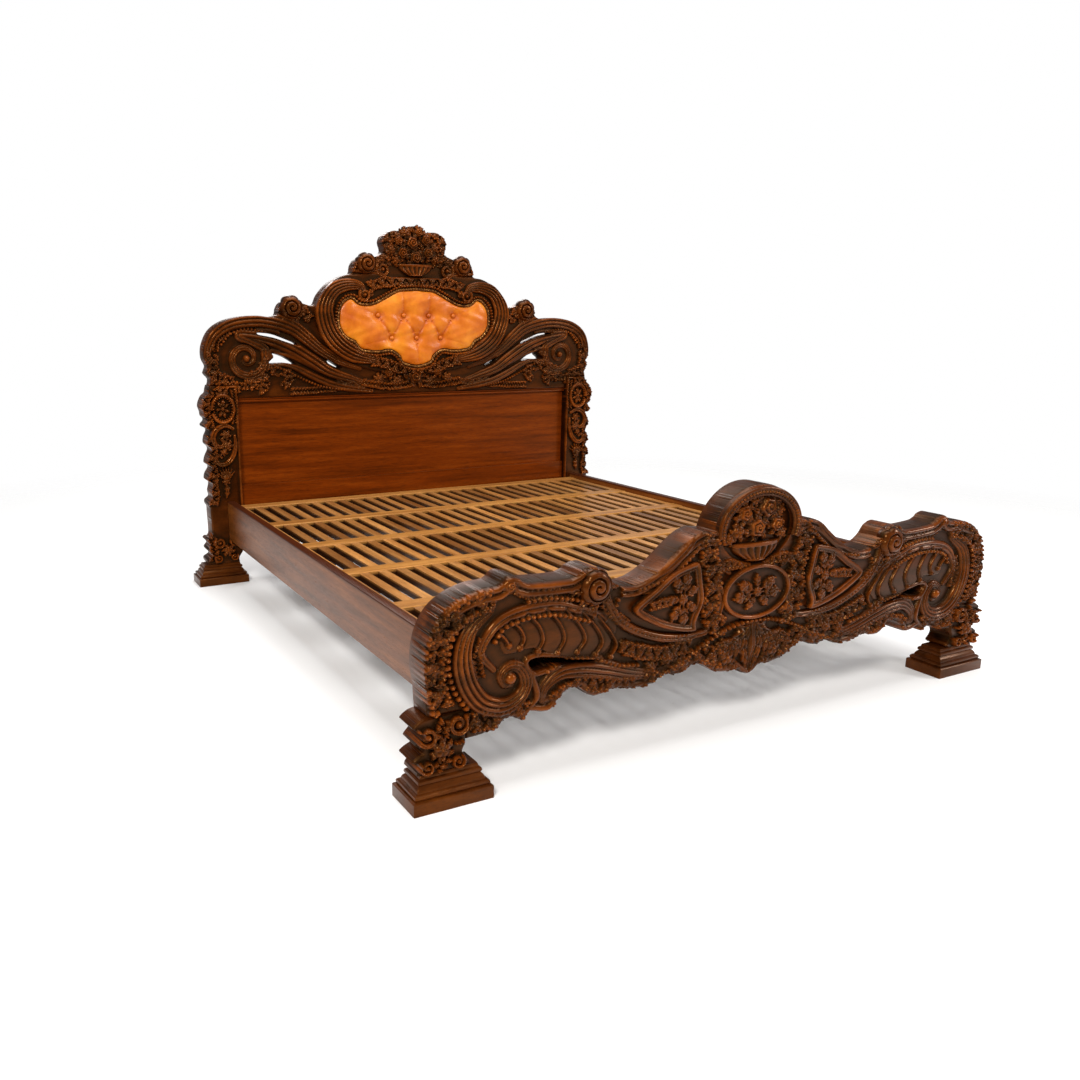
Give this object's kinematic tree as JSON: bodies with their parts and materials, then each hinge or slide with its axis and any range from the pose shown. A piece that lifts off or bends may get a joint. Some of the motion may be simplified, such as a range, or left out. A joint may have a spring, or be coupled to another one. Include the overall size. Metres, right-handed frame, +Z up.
{
  "type": "carved panel bed",
  "caption": "Carved wooden bed with a tall crested headboard, tufted leather pad, low arched footboard and slatted deck.",
  "frame": {"origin": "on the floor under the middle of the bed", "axes": "+X across the bed, +Y from the footboard to the headboard, +Z up"},
  "size_m": [1.968, 2.172, 1.442],
  "materials": {
    "carved_wood": "gloss lacquer",
    "panel_wood": "gloss lacquer",
    "rail_wood": "satin lacquer",
    "slat_wood": "matt, sanded",
    "pad_leather": "glossy",
    "nail_metal": "aged bronze",
    "plate_steel": "plain"
  },
  "bodies": {
    "root": {"headboard_plinth_left": "carved_wood", "headboard_post_left": "carved_wood", "crest_upper_rose_left": "carved_wood", "crest_shoulder_rose_left": "carved_wood", "crest_volute_left": "carved_wood", "footboard_plinth_left": "carved_wood", "footboard_leg_left": "carved_wood", "footboard_rose_left": "carved_wood", "footboard_volute_left": "carved_wood", "footboard_cartouche_left": "carved_wood", "side_rail_left": "rail_wood", "ledger_left": "slat_wood", "hook_plate_foot_left": "plate_steel", "hook_plate_head_left": "plate_steel", "headboard_plinth_right": "carved_wood", "headboard_post_right": "carved_wood", "crest_upper_rose_right": "carved_wood", "crest_shoulder_rose_right": "carved_wood", "crest_volute_right": "carved_wood", "footboard_plinth_right": "carved_wood", "footboard_leg_right": "carved_wood", "footboard_rose_right": "carved_wood", "footboard_volute_right": "carved_wood", "footboard_cartouche_right": "carved_wood", "side_rail_right": "rail_wood", "ledger_right": "slat_wood", "hook_plate_foot_right": "plate_steel", "hook_plate_head_right": "plate_steel", "crest_board": "carved_wood", "crest_medallion_frame": "carved_wood", "crest_basket": "carved_wood", "crest_garland": "carved_wood", "footboard_panel": "carved_wood", "footboard_arch": "carved_wood", "footboard_basket": "carved_wood", "footboard_medallion": "carved_wood", "headboard_lower_rail": "panel_wood", "headboard_panel": "panel_wood", "panel_top_moulding": "panel_wood", "tufted_pad": "pad_leather", "nail_trim": "nail_metal", "tuft_button_1": "pad_leather", "tuft_button_2": "pad_leather", "tuft_button_3": "pad_leather", "tuft_button_4": "pad_leather", "tuft_button_5": "pad_leather", "tuft_button_6": "pad_leather", "tuft_button_7": "pad_leather", "cross_beam_1": "slat_wood", "cross_beam_2": "slat_wood", "cross_beam_3": "slat_wood", "cross_beam_4": "slat_wood", "cross_beam_5": "slat_wood", "cross_beam_6": "slat_wood", "slat_row_1": "slat_wood", "slat_row_2": "slat_wood", "slat_row_3": "slat_wood", "slat_row_4": "slat_wood", "slat_row_5": "slat_wood"}
  },
  "joints": []
}
